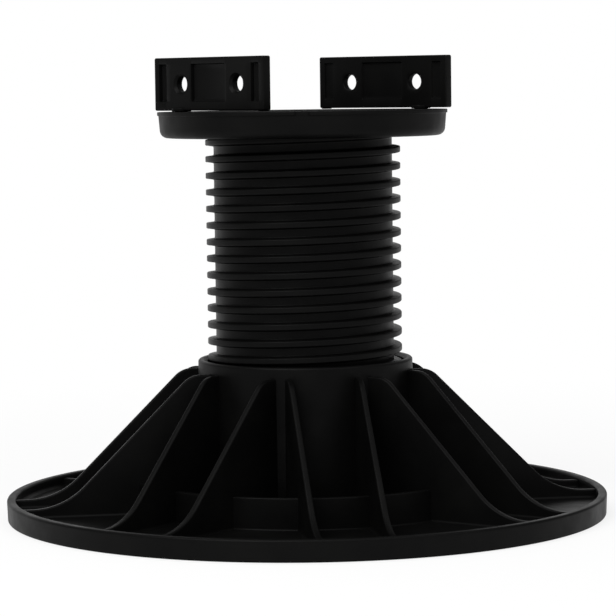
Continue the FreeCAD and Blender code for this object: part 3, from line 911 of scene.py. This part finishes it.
def spigot_shells(head, screw):
    """Snap spigot: a collar turned once round, and hooked fingers turned from slot to slot."""
    ceiling = head.top - head.plate
    bore = screw.crest_radius - screw.depth - screw.wall
    outer = bore - screw.lip_width - head.spigot_clearance
    inner = outer - head.spigot_wall
    collar_bottom = ceiling - head.slot_stop
    hook_top = screw.top - screw.lip_thickness - head.spigot_clearance
    tip = hook_top - head.spigot_tip
    sunk = ceiling + head.plate / 2
    finger_top = collar_bottom + SOFT_EDGE
    hook = outer + head.spigot_catch
    collar = ring_shell(rounded_line([
        (inner, collar_bottom, FINE_EDGE),
        (outer, collar_bottom, FINE_EDGE),
        (outer, sunk, FINE_EDGE),
        (inner, sunk, FINE_EDGE),
    ], steps=FEW_STEPS))
    section = rounded_line([
        (inner, tip, SOFT_EDGE),
        (outer, tip, SOFT_EDGE),
        (hook, hook_top - head.spigot_catch, FINE_EDGE),
        (hook, hook_top, FINE_EDGE),
        (outer, hook_top, FINE_EDGE),
        (outer, finger_top, FINE_EDGE),
        (inner, finger_top, FINE_EDGE),
    ], steps=FEW_STEPS)
    step = FULL_TURN / head.spigot_slots
    gap = head.slot_width / (inner + outer)
    angles = np.linspace(gap, step - gap, TURN_STEPS // head.spigot_slots)
    finger = swept_shell(turn(section, angles))
    return [collar] + [turned_shell(finger, index * step) for index in range(head.spigot_slots)]


def feed(tree, node, inputs):
    """Sets a node's inputs, each to a plain value or by a link from a (node, output) pair."""
    for socket, value in inputs.items():
        if isinstance(value, tuple) and isinstance(value[0], bpy.types.Node):
            tree.links.new(value[0].outputs[value[1]], node.inputs[socket])
        else:
            node.inputs[socket].default_value = value


def add_node(tree, kind, inputs=None, **settings):
    """A shader node of that kind with its settings and inputs."""
    node = tree.nodes.new("ShaderNode" + kind)
    for setting, value in settings.items():
        setattr(node, setting, value)
    feed(tree, node, inputs or {})
    return node


def calculate(tree, operation, *inputs, kind="Math"):
    """A Math or Vector Math node with its inputs in order."""
    return add_node(tree, kind, dict(enumerate(inputs)), operation=operation)


def noise(tree, place, size, detail, roughness):
    """A noise texture whose features are about the given size, on the piece's own coordinates."""
    inputs = {"Vector": (place, "Object"), "Scale": 1 / size, "Detail": detail,
              "Roughness": roughness}
    return add_node(tree, "TexNoise", inputs)


def graded(tree, source, span, levels, interpolation="SMOOTHSTEP"):
    """A Map Range node that carries a span of the source's values to the given levels."""
    inputs = {"Value": source, "From Min": span[0], "From Max": span[1], "To Min": levels[0],
              "To Max": levels[1]}
    return add_node(tree, "MapRange", inputs, interpolation_type=interpolation)


def moulded_plastic(name, finish, roughness_step, grain_share, top_roughness):
    """Black moulded plastic: fine grain, a faint grey bloom in patches, and gloss that drifts."""
    material = bpy.data.materials.new(name)
    material.use_nodes = True
    tree = material.node_tree
    place = add_node(tree, "TexCoord")

    patches = noise(tree, place, finish.patch, detail=4, roughness=0.55)
    amount = graded(tree, (patches, "Fac"), PATCH_SPAN, PATCH_SHARE, "LINEAR")
    colours = {"Factor": (amount, "Result"), "A": (*finish.colour, 1), "B": (*finish.bloom, 1)}
    bloom = add_node(tree, "Mix", colours, data_type="RGBA")

    drift = noise(tree, place, finish.drift, detail=5, roughness=0.6)
    levels = [finish.roughness + roughness_step + step for step in GLOSS_STEPS]
    gloss = graded(tree, (drift, "Fac"), DRIFT_SPAN, levels, "LINEAR")
    upwards = add_node(tree, "SeparateXYZ", {"Vector": (place, "Normal")})
    ground = graded(tree, (upwards, "Z"), LEVEL_SPAN, (0, top_roughness))
    rough = calculate(tree, "MAXIMUM", (gloss, "Result"), (ground, "Result"))

    grain = noise(tree, place, finish.grain, detail=3, roughness=0.5)
    strength = BUMP_STRENGTH * grain_share
    depth = {"Height": (grain, "Fac"), "Strength": strength, "Distance": finish.grain_depth}
    bump = add_node(tree, "Bump", depth)
    feed(tree, tree.nodes["Principled BSDF"], {
        "Base Color": (bloom, "Result"),
        "Roughness": (rough, "Value"),
        "Specular IOR Level": finish.specular,
        "Normal": (bump, "Normal"),
    })
    return material


def plastic(name, *traits):
    """The pedestal's plastic of that name, made when first asked for."""
    made = bpy.data.materials.get(name)
    if made is None:
        made = moulded_plastic(name, bpy.context.scene.pedestal_finish, *traits)
    return made


class PEDESTAL_OT_foot(bpy.types.Operator):
    """Add the foot plate with its rim and barrel, and the brace ring"""

    bl_idname = "pedestal.add_foot"
    bl_label = "Foot and barrel"

    def execute(self, context):
        foot = context.scene.pedestal_foot
        make_piece("foot_and_barrel", "base", [foot_shell(foot)])
        make_piece("brace_ring", "base", [brace_shell(foot)])
        return {"FINISHED"}


class PEDESTAL_OT_ribs(bpy.types.Operator):
    """Add the ribs between the barrel and the rim"""

    bl_idname = "pedestal.add_ribs"
    bl_label = "Ribs"

    def execute(self, context):
        scene = context.scene
        make_piece("foot_ribs", "base", all_ribs(scene.pedestal_ribs, scene.pedestal_foot))
        return {"FINISHED"}


class PEDESTAL_OT_screw(bpy.types.Operator):
    """Add the spindle with its thread, and the barrel's own thread"""

    bl_idname = "pedestal.add_screw"
    bl_label = "Screw and threads"

    def execute(self, context):
        screw = context.scene.pedestal_screw
        foot = context.scene.pedestal_foot
        make_piece("screw_core", "spindle", [screw_core_shell(screw)])
        make_piece("screw_thread", "spindle", [screw_thread_shell(screw)])
        make_piece("barrel_thread", "base", [barrel_thread_shell(screw, foot)])
        return {"FINISHED"}


class PEDESTAL_OT_head(bpy.types.Operator):
    """Add the head with its seat, ribs and snap spigot"""

    bl_idname = "pedestal.add_head"
    bl_label = "Head"

    def execute(self, context):
        head = context.scene.pedestal_head
        screw = context.scene.pedestal_screw
        places = [JOINTS[name]["pos_m"] for name in ("front_lug_swivel", "back_lug_swivel")]
        first_rib = math.atan2(places[1][1], places[1][0]) + math.pi / head.ribs
        make_piece("head_seat", "head", [seat_shell(head, context.scene.pedestal_lugs, places)])
        make_piece("head_ribs", "head", head_rib_shells(head, screw, first_rib))
        make_piece("snap_spigot", "head", spigot_shells(head, screw))
        return {"FINISHED"}


class PEDESTAL_OT_lugs(bpy.types.Operator):
    """Add the two joist lugs on their pegs"""

    bl_idname = "pedestal.add_lugs"
    bl_label = "Joist lugs"

    def execute(self, context):
        lug = context.scene.pedestal_lugs
        head = context.scene.pedestal_head
        plate = lug_plate_shell(lug)
        peg = lug_peg_shells(lug, head)
        for side in ("front", "back"):
            place = (*JOINTS[side + "_lug_swivel"]["pos_m"][:2], 0)
            direction = lug_turn(side + "_outer_screw_hole")
            body = side + "_lug"
            make_piece(body + "_plate", body, [turned_shell(plate, direction, place)])
            make_piece(body + "_peg", body, [turned_shell(made, direction, place) for made in peg])
        return {"FINISHED"}


def mirrored_rays(tree, path):
    """1 for a ray that comes by a mirror reflection or through glass, and 0 for others."""
    return calculate(tree, "MAXIMUM", (path, "Is Glossy Ray"), (path, "Is Transmission Ray"))


def floor_material(stage):
    """Pale floor: white when seen or mirrored, with a share of its real shade, so a shadow stays.

    It is clear from below and to the face that rests on it, so the underside can be seen and gets
    light.
    """
    material = bpy.data.materials.new("pale_floor")
    material.use_nodes = True
    tree = material.node_tree
    tree.nodes.remove(tree.nodes["Principled BSDF"])
    white = {"Color": (*stage.floor_colour, 1)}
    diffuse = add_node(tree, "BsdfDiffuse", white)
    glow = add_node(tree, "Emission", white)
    clear = add_node(tree, "BsdfTransparent")
    place = add_node(tree, "TexCoord")
    path = add_node(tree, "LightPath")
    side = add_node(tree, "NewGeometry")

    distance = calculate(tree, "LENGTH", (place, "Object"), kind="VectorMath")
    fade = graded(tree, (distance, "Value"), stage.shadow_span, (stage.whiteness, 1))
    seen = calculate(tree, "MAXIMUM", (path, "Is Camera Ray"), (mirrored_rays(tree, path), "Value"))
    share = calculate(tree, "MULTIPLY", (seen, "Value"), (fade, "Result"))
    resting = calculate(tree, "LESS_THAN", (path, "Ray Length"), stage.resting_gap)
    unseen = calculate(tree, "MAXIMUM", (side, "Backfacing"), (resting, "Value"))

    whitening = {0: (share, "Value"), 1: (diffuse, "BSDF"), 2: (glow, "Emission")}
    pale = add_node(tree, "MixShader", whitening)
    clearing = {0: (unseen, "Value"), 1: (pale, "Shader"), 2: (clear, "BSDF")}
    surface = add_node(tree, "MixShader", clearing)
    feed(tree, tree.nodes["Material Output"], {"Surface": (surface, "Shader")})
    return material


def light_tent(stage):
    """World of a light tent: white to the camera, and dimmer at the sides and front than behind.

    What mirrors the backdrop sees it as white as the camera does.
    """
    world = bpy.data.worlds.new("light_tent")
    world.use_nodes = True
    tree = world.node_tree
    turned = stage.azimuth + stage.backdrop_turn
    towards = (math.sin(turned), -math.cos(turned), 0)
    place = add_node(tree, "TexCoord")
    path = add_node(tree, "LightPath")
    facing = calculate(tree, "DOT_PRODUCT", (place, "Generated"), towards, kind="VectorMath")
    sides = graded(tree, (facing, "Value"), FRONT_SPAN, (stage.sky, stage.front))
    behind = graded(tree, (facing, "Value"), BACKDROP_SPAN, (1, 0))
    mirrored = (mirrored_rays(tree, path), "Value")
    white = graded(tree, mirrored, (0, 1), (stage.backdrop, 1), "LINEAR")
    backdrop = calculate(tree, "MULTIPLY", (behind, "Result"), (white, "Result"))
    level = calculate(tree, "MAXIMUM", (sides, "Result"), (backdrop, "Value"))
    levels = {"Factor": (path, "Is Camera Ray"), "A": (level, "Value"), "B": 1}
    choose = add_node(tree, "Mix", levels)
    light = {"Color": (*stage.floor_colour, 1), "Strength": (choose, "Result")}
    feed(tree, tree.nodes["Background"], light)
    return world


def softbox(scene, stage, name, aside, rise):
    """A wide square lamp that looks at the part, turned aside from the camera and raised."""
    lamp = bpy.data.lights.new(name + "_softbox", "AREA")
    lamp.size = stage.softbox_size
    lamp.energy = getattr(stage, name)
    turned = stage.azimuth + aside
    level = math.cos(rise)
    outwards = Vector((math.sin(turned) * level, -math.cos(turned) * level, math.sin(rise)))
    placed = bpy.data.objects.new(lamp.name, lamp)
    placed.location = outwards * stage.softbox_distance
    placed.rotation_euler = outwards.to_track_quat("Z", "Y").to_euler()
    scene.collection.objects.link(placed)


class PEDESTAL_OT_stage(bpy.types.Operator):
    """Add the floor, the light and the camera"""

    bl_idname = "pedestal.add_stage"
    bl_label = "Stage"

    def execute(self, context):
        scene = context.scene
        stage = scene.pedestal_stage
        scene.view_settings.view_transform = "Standard"
        scene.world = light_tent(stage)

        reach = stage.floor_reach
        sides = ((-reach, -reach), (reach, -reach), (reach, reach), (-reach, reach))
        mesh = bpy.data.meshes.new("floor")
        mesh.from_pydata([(x, y, -stage.floor_drop) for x, y in sides], [], [(0, 1, 2, 3)])
        mesh.materials.append(floor_material(stage))
        floor = bpy.data.objects.new("floor", mesh)
        scene.collection.objects.link(floor)

        for name, (aside, rise) in SOFTBOXES.items():
            softbox(scene, stage, name, math.radians(aside), math.radians(rise))

        data = bpy.data.cameras.new("camera")
        data.lens = stage.lens
        camera = bpy.data.objects.new("camera", data)
        placing = Matrix.Translation(stage.camera_place)
        swings = ((stage.azimuth, "Z"), (math.pi / 2 - stage.pitch, "X"), (-stage.roll, "Z"))
        for swing, axis in swings:
            placing = placing @ Matrix.Rotation(swing, 4, axis)
        camera.matrix_world = placing
        scene.collection.objects.link(camera)
        scene.camera = camera
        return {"FINISHED"}


OPERATORS = (
    PEDESTAL_OT_foot,
    PEDESTAL_OT_ribs,
    PEDESTAL_OT_screw,
    PEDESTAL_OT_head,
    PEDESTAL_OT_lugs,
    PEDESTAL_OT_stage,
)
GROUPS = {
    "pedestal_foot": FootSizes,
    "pedestal_ribs": RibSizes,
    "pedestal_screw": ScrewSizes,
    "pedestal_head": HeadSizes,
    "pedestal_lugs": LugSizes,
    "pedestal_finish": PlasticFinish,
    "pedestal_stage": StageSettings,
}


class PEDESTAL_PT_panel(bpy.types.Panel):
    """Lists the pieces and their sizes"""

    bl_label = "Deck Pedestal"
    bl_idname = "PEDESTAL_PT_panel"
    bl_space_type = "VIEW_3D"
    bl_region_type = "UI"
    bl_category = "Pedestal"

    def draw(self, context):
        for operator in OPERATORS:
            self.layout.operator(operator.bl_idname)
        for name, group in GROUPS.items():
            box = self.layout.box()
            box.label(text=group.__doc__)
            for size in group.__annotations__:
                box.prop(getattr(context.scene, name), size)


CLASSES = (*GROUPS.values(), *OPERATORS, PEDESTAL_PT_panel)


def register():
    """Registers the classes and hangs their settings on the scene."""
    for made in CLASSES:
        bpy.utils.register_class(made)
    for name, group in GROUPS.items():
        setattr(bpy.types.Scene, name, PointerProperty(type=group))


def unregister():
    """Takes the settings off the scene and unregisters the classes."""
    for name in GROUPS:
        delattr(bpy.types.Scene, name)
    for made in reversed(CLASSES):
        bpy.utils.unregister_class(made)


def main():
    """Builds every piece and the stage."""
    register()
    bpy.ops.pedestal.add_foot()
    bpy.ops.pedestal.add_ribs()
    bpy.ops.pedestal.add_screw()
    bpy.ops.pedestal.add_head()
    bpy.ops.pedestal.add_lugs()
    bpy.ops.pedestal.add_stage()


if __name__ == "__main__":
    main()
